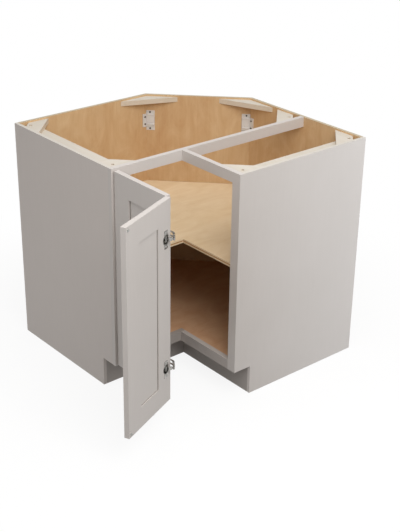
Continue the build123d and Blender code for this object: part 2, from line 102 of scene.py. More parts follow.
# %% [markdown]
# ## Writing shaders as sums
# A procedural finish is mostly arithmetic on noise. The class below wraps a socket, so that
# `1 - mask * 0.3` adds the Math nodes by itself. Colours don't go through Math, which would turn
# them grey: they are blended by `mix`. Every other node comes from the one method `node`.

# %% A wire that can be calculated with


class Wire:
    """A number running through a node tree: arithmetic on it adds Math nodes."""

    def __init__(self, finish, socket):
        self.finish, self.socket = finish, socket

    def calc(self, operation, a, b):
        """Result of one Math node on two numbers or wires."""
        return self.finish.node("ShaderNodeMath", {"operation": operation}, {0: a, 1: b})

    def __add__(self, other):
        return self.calc("ADD", self, other)

    def __radd__(self, other):
        return self.calc("ADD", other, self)

    def __sub__(self, other):
        return self.calc("SUBTRACT", self, other)

    def __rsub__(self, other):
        return self.calc("SUBTRACT", other, self)

    def __mul__(self, other):
        return self.calc("MULTIPLY", self, other)

    def __rmul__(self, other):
        return self.calc("MULTIPLY", other, self)

    def __gt__(self, other):
        return self.calc("GREATER_THAN", self, other)

    def __lt__(self, other):
        return self.calc("LESS_THAN", self, other)


print("1 - wire goes through", Wire.__rsub__.__name__)

# %% [markdown]
# ## A finish grows from its shader
# A material is built from its Principled shader backwards. What is the same all over the surface is
# written on the shader's own sockets, and what changes is fed in as a wire. The noise reads the
# place on the object, so a pattern stays put when a door turns.

# %% A finish that grows nodes, and colours from hex codes


class Finish:
    """A material in the making, with its shader and the one method that adds any node."""

    def __init__(self, name, **uniform):
        self.material = bpy.data.materials.new(name)
        self.material.use_nodes = True
        self.tree = self.material.node_tree
        self.shader = self.tree.nodes["Principled BSDF"]
        for socket, value in uniform.items():
            self.shader.inputs[socket.replace("_", " ")].default_value = value
        self.place = self.node("ShaderNodeTexCoord", output="Object")
        self.facing = self.node("ShaderNodeTexCoord", output="Normal")

    def node(self, kind, settings=None, values=None, output=0):
        """Add a node: first its settings, then a value or a link for each of its sockets."""
        made = self.tree.nodes.new(kind)
        for key, value in (settings or {}).items():
            setattr(made, key, value)
        for key, value in (values or {}).items():
            if isinstance(value, Wire):
                self.tree.links.new(value.socket, made.inputs[key])
            else:
                made.inputs[key].default_value = value
        return Wire(self, made.outputs[output])

    def feed(self, **wires):
        """Link wires to sockets of the shader."""
        for key, wire in wires.items():
            self.tree.links.new(wire.socket, self.shader.inputs[key.replace("_", " ")])

    def noise(self, scale, detail=3.0, rough=0.5, shift=0.0, swirl=0.0):
        """Noise of mean 0 that swings by about a half, stretched by a scale for each axis.

        A shift moves the pattern, so that noises of one scale differ, and a swirl bends it.
        """
        spot = self.node("ShaderNodeMapping", None, {0: self.place, 1: (shift,) * 3, 3: scale})
        return self.node("ShaderNodeTexNoise", None, {"Vector": spot, "Scale": 1.0, "Detail": detail,
                                                      "Roughness": rough, "Distortion": swirl}) - 0.5

    def mix(self, share, first, second):
        """Blend of two colours: share 0 gives the first, 1 the second."""
        return self.node("ShaderNodeMix", {"data_type": "RGBA", "clamp_factor": True},
                         {0: share, 6: first, 7: second}, output=2)

    def part(self, vector, axis):
        """One of a vector's three numbers."""
        return self.node("ShaderNodeSeparateXYZ", None, {0: vector}, output="XYZ".index(axis))

    def lean(self, axis):
        """Size of the normal's part along an axis: 1 on a face square to it, 0 on an edge."""
        return self.node("ShaderNodeMath", {"operation": "ABSOLUTE"}, {0: self.part(self.facing, axis)})

    def relief(self, height, depth):
        """Normal of a surface whose height in metres is depth times a wire."""
        return self.node("ShaderNodeBump", None, {"Strength": 1.0, "Distance": depth, "Height": height})


def tone(code):
    """Linear colour of a hex code.

    From 0.0405 up each channel c gives ((c + 0.055) / 1.055) ** 2.4, and below that c / 12.92.
    """
    channels = [int(code[i:i + 2], 16) / 255 for i in (1, 3, 5)]
    return tuple(c / 12.92 if c < 0.0405 else ((c + 0.055) / 1.055) ** 2.4 for c in channels) + (1.0,)


print("middle grey #808080 is", round(tone("#808080")[0], 3), "of white as light")

# %% [markdown]
# ## Painted wood
# The doors, the face frame and the outsides of the end panels carry a warm grey satin lacquer. A
# sprayed coat isn't perfectly even: its tone drifts a little over a hand's width, it has a faint
# orange peel, and its gloss changes where it lies thicker. All three are noise at those scales. The
# toe boards stand back in the dark and got a duller coat whose darker tone is painted shade. So did
# the two bottom rails above them, and the left one, which faces the key lamp, got the darker coat of
# the two, painted shade as well.

# %% Satin lacquer
COAT = ("#CFC8C2", "#D9D2CD")
# Darker copies of the lacquer: painted shade for the recessed toe boards and the bottom rails under the
# doors.
PAINTED_SHADE_COATS = {"toe_board": ("#ABA49E", "#B6AFAA"),
             "left_bottom_rail": ("#A29A93", "#ACA49E"),
             "bottom_rail": ("#BBB3AC", "#C5BDB7")}
PAINT_RELIEF = 0.06 * MM


def painted_shade_lacquer(finish, deep, light):
    """Colour, roughness and height of the lacquer, as wires of a finish.

    The tone is 0.5 + 0.9 cloud + 0.35 brush on the way from deep to light, where the cloud is as
    wide as a hand and the brush is a fine noise stretched upwards.
    """
    cloud = finish.noise((5, 5, 5), 2)
    brush = finish.noise((90, 90, 9), 3, shift=3.0)
    peel = finish.noise((420, 420, 420), 2)
    colour = finish.mix(0.5 + cloud * 0.9 + brush * 0.35, tone(deep), tone(light))
    return colour, 0.42 + cloud * 0.12 + peel * 0.06, peel * 0.6 + brush


paint = Finish("satin_lacquer", Coat_Weight=0.08, Coat_Roughness=0.35)
colour, gloss, height = painted_shade_lacquer(paint, *COAT)
paint.feed(Base_Color=colour, Roughness=gloss, Normal=paint.relief(height, PAINT_RELIEF))

painted_shade_paints = {word: Finish(f"{word}_lacquer") for word in PAINTED_SHADE_COATS}
for word, painted_shade_paint in painted_shade_paints.items():
    colour, gloss, height = painted_shade_lacquer(painted_shade_paint, *PAINTED_SHADE_COATS[word])
    painted_shade_paint.feed(Base_Color=colour, Roughness=gloss + 0.15,
                   Normal=painted_shade_paint.relief(height, PAINT_RELIEF))
print("lacquers:", paint.material.name, *(painted_shade_paint.material.name for painted_shade_paint in painted_shade_paints.values()))

# %% [markdown]
# ## Birch plywood
# Inside, every wall, the bottom and the shelf are clear-coated birch plywood. Rotary-cut birch has
# fine fibres, short dark flecks, soft wide bands where the knife crossed a growth ring, a swirling
# figure and a cloudy shimmer. Each is noise squeezed across the grain and stretched along it, and
# the figure is also bent by a second noise.

# %% Birch veneer
BIRCH_PALE, BIRCH_DARK = "#DABD93", "#BA8C5C"


def veneer(finish, along, pale=BIRCH_PALE, dark=BIRCH_DARK):
    """Birch face with its grain along an axis: colour, roughness and height as wires.

    A noise scale is small along the grain and large across it, so features come out long. The
    colour lies between pale and dark at the weighted sum of the five noises.
    """
    def run(across_grain, along_grain):
        return tuple(along_grain if axis == along else across_grain for axis in "XYZ")

    cloud = finish.noise(run(3.2, 1.4), 3, shift=7.0)
    band = finish.noise(run(16, 1.1), 4, 0.6)
    figure = finish.noise(run(9, 5), 5, 0.6, shift=11.0, swirl=2.4)
    fibre = finish.noise(run(260, 5), 3, shift=2.0)
    fleck = finish.noise(run(420, 34), 2, shift=5.0) > 0.19
    share = 0.45 + cloud * 0.8 + band * 0.4 + figure * 0.95 + fibre * 0.3 + fleck * 0.2
    colour = finish.mix(share, tone(pale), tone(dark))
    return colour, 0.5 + band * 0.15 + fibre * 0.1, fibre - fleck * 0.4


print("birch lies between", BIRCH_PALE, "and", BIRCH_DARK)

# %% [markdown]
# ## Boards with glued edges
# A board's edge shows the layers that it is glued from: the shelf has three, light outside and dark
# between. They are a wave along the thickness. The surface's normal tells edges from faces, so one
# material covers the whole board.

# %% Layers on the edges, and the boards
PLY_RELIEF = 0.08 * MM
BOTTOM_LAYER = 4.2 * MM


def layers(finish, thickness_axis, pitch, base=0.0, pale="#D9C09A", dark="#A67F55"):
    """Colour of a plywood edge: light and dark layers, each pitch thick, cut with fine saw marks.

    The layer is the sine of the place along the thickness, which is 0 at the base and dark for a
    pitch above it. A gain of 2.5 sharpens the steps.
    """
    spot = finish.part(finish.place, thickness_axis)
    wave = finish.node("ShaderNodeMath", {"operation": "SINE"}, {0: (spot - base) * (math.pi / pitch)})
    saw = finish.noise((700, 700, 700), 2)
    return finish.mix(0.5 + wave * 2.5 + saw * 0.8, tone(pale), tone(dark))


def board(name, along, edge_axis, pitch, base=0.0, edge_tones=(), **tones):
    """Plywood board: veneer on its two faces and layers on its edges.

    A face points along the thickness axis, so the size of the normal's part there tells them apart.
    """
    finish = Finish(name, Coat_Weight=0.15, Coat_Roughness=0.3)
    face, gloss, height = veneer(finish, along, **tones)
    edge = finish.lean(edge_axis) < 0.5
    colour = finish.mix(edge, face, layers(finish, edge_axis, pitch, base, *edge_tones))
    finish.feed(Base_Color=colour, Roughness=gloss + edge * 0.15,
                Normal=finish.relief(height, PLY_RELIEF))
    return finish


shelf_low, shelf_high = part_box("shelf")
shelf_layer = (shelf_high.z - shelf_low.z) / 3
# Painted light: the shelf's veneer is a paler, lighter copy of the birch, and its edge layers are lighter
# still, for light on the shelf and on its shaded front edge.
shelf_ply = board("birch_shelf_painted_light", "Y", "Z", shelf_layer, shelf_low.z + shelf_layer,
                  edge_tones=("#FFEBC8", "#D0A06C"), pale="#EFDCBC", dark="#D8BB8E")
floor_ply = board("birch_bottom", "Y", "Z", BOTTOM_LAYER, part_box("bottom_panel")[0].z,
                  pale="#E3BF99", dark="#C48D67")
print("shelf layers of", round(shelf_layer / MM, 2), "mm")

# %% [markdown]
# ## Walls with two faces
# An end panel is one board with lacquer outside and birch inside, and its sawn top edge shows
# cream. One material does all three, because it can ask which way the surface faces. The right end
# board's coat fades to lighter tones towards the wall, which is painted light for a brightening that
# the three lamps don't give. The left end board's coat is a little lighter and warmer than the rest
# of the lacquer, painted light on its shaded face. The backs are bare birch on both faces and darker
# on top.

# %% Walls
WALL_RELIEF = 0.07 * MM


def wall(name, outward=None, coat_tones=COAT, painted_light_fade=None, top_edge=("#DED8CF", "#D0C9BE")):
    """Upright board of birch, with two tones of cream on its sawn top edge.

    Where an outward direction is given, every face but the inner one is lacquered: there the dot
    product of the normal with that direction is over -0.5. A painted light fade is a start and an
    end along Y and the two tones that the coat has reached at the end; those lighter tones are
    painted light.
    """
    finish = Finish(name, Coat_Weight=0.1, Coat_Roughness=0.32)
    colour, gloss, height = veneer(finish, "Z")
    if outward:
        coat, coat_gloss, coat_height = painted_shade_lacquer(finish, *coat_tones)
        # Painted light: the coat is blended along Y towards lighter tones.
        if painted_light_fade:
            start, end, *lit_tones = painted_light_fade
            share = (finish.part(finish.place, "Y") - start) * (1 / (end - start))
            coat = finish.mix(share, coat, painted_shade_lacquer(finish, *lit_tones)[0])
        skin = finish.node("ShaderNodeVectorMath", {"operation": "DOT_PRODUCT"},
                           {0: finish.facing, 1: outward}, output="Value") > -0.5
        colour = finish.mix(skin, colour, coat)
        gloss = gloss + skin * (coat_gloss - gloss)
        height = height + skin * (coat_height - height)
    top = finish.part(finish.facing, "Z") > 0.5
    sawn = finish.mix(0.5 + finish.noise((300, 300, 300), 2), tone(top_edge[0]), tone(top_edge[1]))
    finish.feed(Base_Color=finish.mix(top, colour, sawn), Roughness=gloss,
                Normal=finish.relief(height, WALL_RELIEF))
    return finish


right_low, right_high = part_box("right_side_panel")
# Painted light: a lighter, warmer coat on the left end board's shaded outer face.
left_wall = wall("left_end_board", (0, -1, 0), coat_tones=("#D3CAC3", "#DCD3CD"))
# Painted light: the right end board's coat lightens towards the wall.
right_wall = wall("right_end_board", (1, 0, 0), painted_light_fade=(right_low.y, right_high.y, "#F0EBE7", "#F8F3F0"))
back_wall = wall("back_board", top_edge=("#CDBFA6", "#BCAC90"))
print("the right end board fades over", round(right_high.y - right_low.y, 3), "m")

# %% [markdown]
# ## Pale braces
# The corner braces and the stretchers are planed pale wood with a straight grain, so two noises
# stretched along it are enough. Their sides show a trace of plies.

# %% Braces
BRACE_RELIEF, BRACE_LAYER = 0.12 * MM, 2.4 * MM


def planed(name, along):
    """Pale planed wood: fine fibres and wide bands, both stretched along an axis."""
    finish = Finish(name, Specular_IOR_Level=0.3)
    fibre = finish.noise(tuple(6 if axis == along else 150 for axis in "XYZ"), 3)
    band = finish.noise(tuple(2 if axis == along else 22 for axis in "XYZ"), 3, shift=4.0)
    face = finish.mix(0.5 + fibre * 0.7 + band * 0.9, tone("#DFD8CE"), tone("#CDC3B2"))
    side = finish.lean("Z") < 0.5
    finish.feed(Base_Color=finish.mix(side * 0.35, face, layers(finish, "Z", BRACE_LAYER)),
                Roughness=0.62 + fibre * 0.15, Normal=finish.relief(fibre + band, BRACE_RELIEF))
    return finish


brace_x, brace_y = planed("pale_brace_along_x", "X"), planed("pale_brace_along_y", "Y")
print("braces", brace_x.material.name, brace_y.material.name)

# %% [markdown]
# ## Nickel, bracket resin and clear bumpers
# The hinges are nickel-plated steel: a plate's gloss breaks up in fine rolling marks. The seam
# brackets are moulded in a warm grey resin, and the doors close on soft clear bumpers. Each needs
# only one or two noises, because its pieces are small.

# %% Nickel, resin and bumpers
NICKEL_RELIEF, RESIN_RELIEF = 0.02 * MM, 0.04 * MM

nickel = Finish("bright_nickel", Metallic=1.0)
rolled, smear = nickel.noise((900, 900, 60), 3), nickel.noise((70, 70, 70), 3, shift=6.0)
nickel.feed(Base_Color=nickel.mix(0.5 + smear * 1.2, tone("#B9B7B3"), tone("#8E8C88")),
            Roughness=0.26 + smear * 0.25 + rolled * 0.1, Normal=nickel.relief(rolled, NICKEL_RELIEF))

resin = Finish("bracket_resin", Subsurface_Weight=0.05)
grain, drift = resin.noise((650, 650, 650), 2), resin.noise((40, 40, 40), 2, shift=1.0)
resin.feed(Base_Color=resin.mix(0.5 + drift, tone("#DDD8D3"), tone("#CFC8C3")),
           Roughness=0.48 + grain * 0.2, Normal=resin.relief(grain, RESIN_RELIEF))

bumper = Finish("clear_bumper", Transmission_Weight=0.55, IOR=1.45)
mottle = bumper.noise((500, 500, 500), 2)
bumper.feed(Base_Color=bumper.mix(0.5 + mottle, tone("#E4E5E0"), tone("#D4D6D0")),
            Roughness=0.25 + mottle * 0.2)
print("small parts", nickel.material.name, resin.material.name, bumper.material.name)

# %% [markdown]
# ## Hand out the finishes
# The names say what each solid is, so a short table of word and finish covers all of them. The
# first word found in a name wins, and the empty word at the end, which every name holds, gives the
# doors and the face frame their lacquer.

# %% Dress every solid
finishes = {"left_side_panel": left_wall, "right_side_panel": right_wall, "back_panel": back_wall,
            "base_support": back_wall, "bottom_panel": floor_ply,
            "shelf_pins": nickel, "shelf": shelf_ply,
            "door_bottom_rail": paint, **painted_shade_paints,
            "seam_bracket": resin, "bumpers": bumper,
            "seam_brace": brace_x, "stretcher": brace_x, "right_gusset": brace_x,
            "left_gusset": brace_y, "beam_gusset": brace_y,
            **dict.fromkeys(("hinge_base", "lever", "coupler", "cup", "fold_arm"), nickel),
            "": paint}
for name, solid in nodes.items():
    finish = next(finish for word, finish in finishes.items() if word in name)
    solid.data.materials.clear()
    solid.data.materials.append(finish.material)
used = {solid.data.materials[0].name for solid in nodes.values()}
print("dressed", len(nodes), "solids in", len(used), "finishes")

# %% [markdown]
# ## Small metalwork as surfaces
# A drawing of a hinge stops at plates, bars and pins. The real one also has rivet heads, screws with
# a crossed slot, and a stamped plate with a rolled lip round the mouth of its cup. Each of these is
# a grid of points that numpy works out at once: rows run along the piece and columns round it. One
# helper turns grids into a mesh, so that every shape below is only a formula for its points.

# %% From grids of points to a piece
SHARP_DEGREES = 38
made_pieces = []


def piece(name, grids, body, finish):
    """Piece made of grids of points, each rows by columns by 3 and closed round its columns.

    Quad (r, c) joins rows r and r + 1 at columns c and c + 1, and a fan from the mean of its points
    closes the first and the last row. Where the volume, the sum of a . (b x c) / 6 over the
    triangles, comes out negative, the faces are turned round.
    """
    points, faces, start = [], [], 0
    for grid in grids:
        rows, columns = grid.shape[:2]
        index = np.arange(rows * columns).reshape(rows, columns)
        after = np.roll(index, -1, axis=1)
        quads = np.stack([index[:-1], after[:-1], after[1:], index[1:]], -1).reshape(-1, 4)
        tip = np.full(columns, rows * columns)
        fans = np.concatenate([np.stack([tip, after[0], index[0]], 1),
                               np.stack([tip + 1, index[-1], after[-1]], 1)])
        cloud = np.concatenate([grid.reshape(-1, 3), grid[:1].mean(1), grid[-1:].mean(1)])
        triangles = np.concatenate([quads[:, :3], quads[:, [0, 2, 3]], fans])
        a, b, c = (cloud[triangles[:, i]] for i in range(3))
        turn = -1 if (a * np.cross(b, c)).sum() < 0 else 1
        faces += (quads[:, ::turn] + start).tolist() + (fans[:, ::turn] + start).tolist()
        points.append(cloud)
        start += len(cloud)
    mesh = bpy.data.meshes.new(name)
    mesh.from_pydata(np.concatenate(points).tolist(), [], faces)
    mesh.materials.append(finish.material)
    mesh.shade_smooth()
    mesh.set_sharp_from_angle(angle=math.radians(SHARP_DEGREES))
    made = bpy.data.objects.new(name, mesh)
    bpy.context.scene.collection.objects.link(made)
    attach(made, body)
    made_pieces.append(made)


print("edges that turn by more than", SHARP_DEGREES, "degrees stay sharp")

# %% [markdown]
# ## Rivet heads and screw heads
# A rivet head is a profile turned about its axis. A pan-head screw is the same dome with a crossed
# slot pressed in, which a turned shape can't have, so its height depends on the angle as well. No
# two screws in a real hinge stop at the same angle, and here a seeded draw turns each one.

# %% Formulas for heads
chance = np.random.default_rng(36)


def stand(spot, axis):
    """Place and three directions of a head: two across its axis, and the axis itself."""
    axis = np.asarray(axis, float) / np.linalg.norm(axis)
    side = np.cross((0, 0, 1) if abs(axis[2]) < 0.9 else (1, 0, 0), axis)
    side = side / np.linalg.norm(side)
    return np.asarray(spot, float), side, np.cross(axis, side), axis


def rivet(spot, axis, radius, height):
    """Domed head: at the angle a from 0 to 86 degrees its radius is R cos a, its height H sin a.

    Its foot goes 0.3 mm into the plate, so that no gap shows.
    """
    spot, side, other, axis = stand(spot, axis)
    lift = np.linspace(0, 1.5, 7)[:, None, None]
    turn = np.linspace(0, 2 * np.pi, 24, False)[None, :, None]
    dome = spot + radius * np.cos(lift) * (np.cos(turn) * side + np.sin(turn) * other) \
        + height * np.sin(lift) * axis
    return np.concatenate([dome[:1] - 0.3 * MM * axis, dome])


def screw(spot, axis, radius, height):
    """Pan head with a crossed slot, turned to a random stop.

    The dome's height is H sqrt(1 - (r / R)^4). The slot lowers it by 0.7 H. It is full where the
    smaller of |x| and |y| is under 0.11 R and the larger under 0.60 R, and it has faded out at
    0.16 R and 0.66 R. The rings of points lie closer where the slot ends, and the foot goes 0.4 mm
    into the plate.
    """
    spot, side, other, axis = stand(spot, axis)
    rings = np.array([1, 0.985, 0.94, 0.86, 0.76, 0.68, 0.62, 0.56, 0.46, 0.36, 0.26, 0.17, 0.09, 0.02])
    share = rings[:, None]
    turn = np.linspace(0, 2 * np.pi, 48, False)[None, :]
    x, y = share * np.cos(turn), share * np.sin(turn)
    narrow, wide = np.minimum(abs(x), abs(y)), np.maximum(abs(x), abs(y))
    slot = np.clip((0.16 - narrow) / 0.05, 0, 1) * np.clip((0.66 - wide) / 0.06, 0, 1)
    lift = height * (np.sqrt(1 - 0.999 * share ** 4) - 0.7 * slot)
    stop = chance.uniform(0, np.pi / 2)
    side, other = (np.cos(stop) * side + np.sin(stop) * other,
                   np.cos(stop) * other - np.sin(stop) * side)
    head = spot + radius * (x[..., None] * side + y[..., None] * other) + lift[..., None] * axis
    return np.concatenate([head[:1] - 0.4 * MM * axis, head])


print("a rivet head has", rivet((0, 0, 0), (0, 0, 1), MM, MM)[..., 0].size, "points")

# %% [markdown]
# ## A section carried along a line
# Bars and folded strips are flat sheet seen from above, so both carry a section of eight points
# along a line in plan. One helper does the carrying, and the shapes only say how far each point
# stands from the line and at which level.

# %% Formula for a carried section
SECTION_SIDES = np.array([1, 1, 1, 1, -1, -1, -1, -1])
SECTION_CORNERS = np.array([1, 0, 0, 1, 1, 0, 0, 1])


def unit(headings):
    """Headings in plan, each scaled to length 1."""
    return headings / np.linalg.norm(headings, axis=1)[:, None]


def section_levels(low, high, trim):
    """Levels of the eight points of a section: up one side and down the other, with cut corners."""
    return np.array([low, low + trim, high - trim, high, high, high - trim, low + trim, low])


def carried(line, heading, aside, levels):
    """Section carried along a line in plan.

    A unit heading (u, v) has (-v, u) on its left, and each point stands aside of the line by so much
    to the left and at its own level.
    """
    left = np.stack([-heading[:, 1], heading[:, 0]], 1)
    plan = line[:, None, :] + aside[..., None] * left[:, None, :]
    return np.concatenate([plan, np.broadcast_to(levels, plan.shape[:2])[..., None]], -1)


print("a section has", SECTION_SIDES.size, "points")

# %% [markdown]
# ## Bars and webs that follow a path
# A hinge bar keeps its width along a path and swells into a round eye at both ends, where its pin
# goes through. A folded web is a thin upright strip along a path. Bends are eased a little, because
# a section would otherwise cut through itself there.

# %% Formulas for bars and webs


def bar(path, width, eye, low, high, first=True):
    """Flat bar between two levels that follows a path in plan and ends in round eyes.

    At a distance d from an eye's middle the half width is the larger of width / 2 and
    sqrt(eye^2 - d^2), and an eye is followed 77 degrees round before a flat end closes it. The
    section is a rectangle with its four corners cut. Each spot on the path is the mean of five near
    it, which eases the bends. Without its first eye the bar starts square.
    """
    path = np.asarray(path, float)
    corner, easing, step = 0.4 * MM, 0.3 * MM, 0.2 * MM
    reach = np.concatenate([[0], np.cumsum(np.linalg.norm(np.diff(path, axis=0), axis=1))])
    length = reach[-1]
    swell = eye * np.sin(np.linspace(0, 1.35, 6))
    inner = np.linspace(0, length, 41)[1:-1]
    start = -swell[::-1] if first else np.zeros(1)
    along = np.concatenate([start, inner, length + swell])
    held = np.clip(along, 0, length)

    def spots(distance):
        return np.stack([np.interp(distance, reach, path[:, i]) for i in range(2)], -1)

    ease = np.minimum(easing, np.minimum(held, length - held) / 2)
    line = spots(held[:, None] + ease[:, None] * np.arange(-2, 3)).mean(1)
    heading = spots(held + step) - spots(held - step)
    smooth = np.ones(5) / 5
    heading = unit(np.stack([np.convolve(np.pad(heading[:, i], 2, "edge"), smooth, "valid")
                             for i in range(2)], 1))
    line += heading * (along - held)[:, None]
    gap = np.minimum(abs(along) if first else np.full(along.size, eye), abs(along - length))
    half = np.sqrt(np.maximum(eye ** 2 - gap ** 2, 0))
    half = np.where((along < 0) | (along > length), half, np.maximum(half, width / 2))
    cut = np.minimum(corner, half * 0.5)
    aside = SECTION_SIDES * (half[:, None] - SECTION_CORNERS * cut[:, None])
    return carried(line, heading, aside, section_levels(low, high, corner))


def web(path, low, high, thickness):
    """Thin upright strip that follows a path in plan, half as thick at its upper and lower edges."""
    path = np.asarray(path, float)
    aside = thickness / 2 * SECTION_SIDES * (1 - 0.5 * SECTION_CORNERS)
    levels = section_levels(low, high, 0.35 * thickness)
    return carried(path, unit(np.gradient(path, axis=0)), aside, levels)


print("a straight bar has", bar([(0, 0), (0.02, 0)], 4 * MM, 3 * MM, 0, MM)[..., 0].size, "points")

# %% [markdown]
# ## Where the hinges stand
# The frame holds every joint with its place, so the pins needn't be measured again. The rivets, the
# second bars and the covers start from those joints. A parallel linkage repeats one vector, so the
# second lever's far end and the fold cup's pin are sums of known ones.

# %% Pins
pin = {joint["name"]: np.array(joint["pos_m"][:2]) for joint in frame["joints"]}
lever_base, second_base = pin["lever_swing"], pin["second_lever_swing"]
lever_end, arm_pin = pin["coupler_swing"], pin["fold_lever_swing"]
second_end = second_base + lever_end - lever_base
knuckle, fold_line = pin["fold_coupler_swing"], pin["right_door_hinge"]
cup_pin = fold_line + knuckle - arm_pin
print("the fold cup's pin stands at", cup_pin.round(4))

# %% [markdown]
# ## Where the doors stand
# In plan each door is a corner, a direction along the door and the distance of its cup from the
# corner. The left door stands square to the cabinet, so the boxes of its own pieces give all three.
# The right one starts at the fold line and is turned from there, which a box can't tell.

# %% Doors and hinge levels
RIGHT_DOOR_TURN = math.radians(67.41)
FOLD_CUP_REACH = 32.0 * MM
outer_low, outer_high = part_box("left_door_outer_stile")
cup_low, cup_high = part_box("upper_frame_cup")
door_thickness = outer_high.y - outer_low.y
doors = {"left": (np.array((outer_low.x, outer_low.y)), np.array((1.0, 0.0)),
                  (cup_low.x + cup_high.x) / 2 - outer_low.x),
         "right": (fold_line, np.array((math.cos(RIGHT_DOOR_TURN), -math.sin(RIGHT_DOOR_TURN))),
                   FOLD_CUP_REACH)}


def middle_level(name):
    """Level of the middle of a solid."""
    low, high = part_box(name)
    return (low.z + high.z) / 2


hinge_levels = {place: middle_level(f"{place}_frame_cup") for place in ("upper", "lower")}
print("hinge levels", {place: round(level, 4) for place, level in hinge_levels.items()})

# %% [markdown]
# ## Plates of the cups
# Each cup is pressed from one sheet: round its mouth the sheet rolls up into a lip, and above and
# below it spreads into a wing with a screw. It's left open at the sides, where the arm passes. A
# section of the sheet, from the lip out to the edge, is carried round the mouth, and only the
# distance of the edge changes with the angle.

# %% Wings with a rolled lip, and their screws
UP = np.array((0, 0, 1))
SHEET = 1.4 * MM
WING_SCREW_REACH = 24 * MM
WING_SCREW = (3.6 * MM, 1.3 * MM)


def at(plan, level):
    """Point in space over a point in plan."""
    return np.array((plan[0], plan[1], level))


def stamped_wing(middle, across, out, up):
    """Wing and lip on one side of a cup, for the angle t from the wing's axis, up to 58 degrees.

    The lip stands at the mouth's radius. The outer edge lies at the larger of the rim and the
    smaller of length / cos t and width / |sin t|, so it is round at the sides and square at the end.
    The heights follow the section from the mouth over the lip to the edge. All numbers inside are
    in millimetres.
    """
    rim, length, width = 18.9, 31.8, 10.8
    lip_radii = (16.75, 16.75, 17.15, 17.75, 18.25, 18.65)
    edge_insets = (0.4, 0, 0)
    heights = np.array((-0.5, 1.4, 1.8, 1.8, 1.45, 1.4, 1.4, 1.1, -0.5))
    t = np.linspace(-1.01, 1.01, 49)
    edge = np.maximum(rim, np.minimum(length / np.cos(t), width / np.maximum(abs(np.sin(t)), 0.01)))
    edge = np.convolve(np.pad(edge, 1, "edge"), (0.2, 0.6, 0.2), "valid")[:, None]
    lip = np.broadcast_to(lip_radii, (t.size, len(lip_radii)))
    radius = np.concatenate([lip, edge - edge_insets], 1)
    aside, along = radius * np.sin(t)[:, None], radius * np.cos(t)[:, None]
    return middle + MM * (aside[..., None] * across + along[..., None] * up + heights[:, None] * out)


for place, level in hinge_levels.items():
    for side, cup in (("left", "frame"), ("right", "fold")):
        corner, run, reach = doors[side]
        out = at((-run[1], run[0]), 0)
        middle = at(corner + run * reach, level) + out * door_thickness
        wings = [stamped_wing(middle, at(run, 0), out, sign * UP) for sign in (1, -1)]
        heads = [screw(middle + sign * WING_SCREW_REACH * UP + SHEET * out, out, *WING_SCREW)
                 for sign in (1, -1)]
        piece(f"{place}_{cup}_cup_plate", wings, f"{side}_door", nickel)
        piece(f"{place}_{cup}_cup_screws", heads, f"{side}_door", nickel)
print("cup plates and their screws:", len(made_pieces), "pieces")

# %% [markdown]
# ## The fold hinge's folded sheet, seen in plan
# Folded sheet makes each lever of the fold hinge a channel: a bar above the coupler, a bar below
# it, and a web round the outside. The drawing has the upper bar. So the outlines needed are the
# web's path, which stops where the coupler comes out so that both can turn, the coupler's bent path
# past the knuckle, and the arm's lower cheek, which runs from the screwed foot to a round eye.

# %% Outlines in plan
web_offset, web_start, web_sweep = 4.1 * MM, 1.5 * MM, math.radians(84)
lever_length = np.linalg.norm(knuckle - arm_pin)
heading = (knuckle - arm_pin) / lever_length
outward = np.array((-heading[1], heading[0]))
start_angle = math.atan2(outward[1], outward[0])
sweep = np.linspace(start_angle, start_angle - web_sweep, 15)
straight = arm_pin + outward * web_offset + np.linspace(-web_start, lever_length, 12)[:-1, None] * heading
rounded = knuckle + web_offset * np.stack([np.cos(sweep), np.sin(sweep)], 1)
web_path = np.concatenate([straight, rounded])

bend_share, bend_aside, cover_start = 0.585, 6.4 * MM, 6.8 * MM
link = cup_pin - knuckle
bend = knuckle + bend_share * link + bend_aside * np.array((-link[1], link[0])) / np.linalg.norm(link)
leaving = knuckle + (bend - knuckle) / np.linalg.norm(bend - knuckle) * cover_start

foot_start, foot_end, foot_width, cheek_eye = 2 * MM, 44 * MM, 2 * MM, 3.6 * MM
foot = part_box("upper_fold_arm")[0]
ring = np.linspace(0, 2 * np.pi, 24, False)
foot_corners = [(foot.x + foot_start, foot.y), (foot.x + foot_end, foot.y),
                (foot.x + foot_start, foot.y + foot_width)]
eye_points = arm_pin + cheek_eye * np.stack([np.cos(ring), np.sin(ring)], 1)
cheek_points = np.concatenate([foot_corners, eye_points])
print("lever", round(lever_length / MM, 1), "mm, coupler", round(np.linalg.norm(link) / MM, 1), "mm long")

# %% [markdown]
# ## A plate from a stretched band
# The cheek is what a rubber band takes in when it's stretched round the foot's corners and the eye.
# In each direction the band touches the point that lies furthest that way, so one table of products
# finds the whole outline.

# %% Formulas for the cheek


def hull(points):
    """Outline of a stretched band round points: the furthest point in each of 96 directions."""
    turn = np.linspace(0, 2 * np.pi, 96, False)
    best = (np.stack([np.cos(turn), np.sin(turn)], 1) @ points.T).argmax(1)
    return points[best[np.flatnonzero(best != np.roll(best, 1))]]


def plate(edge, low, high):
    """Flat plate between two levels: the outline's ring, and 1.5% smaller rings above and below."""
    middle = edge.mean(0)
    inner = middle + (edge - middle) * 0.985
    trim = 0.25 * MM
    rings = ((inner, low), (edge, low + trim), (edge, high - trim), (inner, high))
    return np.stack([np.concatenate([outline, np.full((len(edge), 1), z)], 1) for outline, z in rings])


cheek = hull(cheek_points)
print("the cheek's outline keeps", len(cheek), "of", len(cheek_points), "points")

# %% [markdown]
# ## Channels, covers, rivets and screws
# The lower bar and the web turn with the lever, and the cover with the coupler, which is as tall as
# the channel past the knuckle. Each piece rides on the body that carries it, so that it follows when
# the doors move. A rivet head stands on each pivot, above and below, at the level of the outermost
# plate there, and the arm and the base have two screws each.

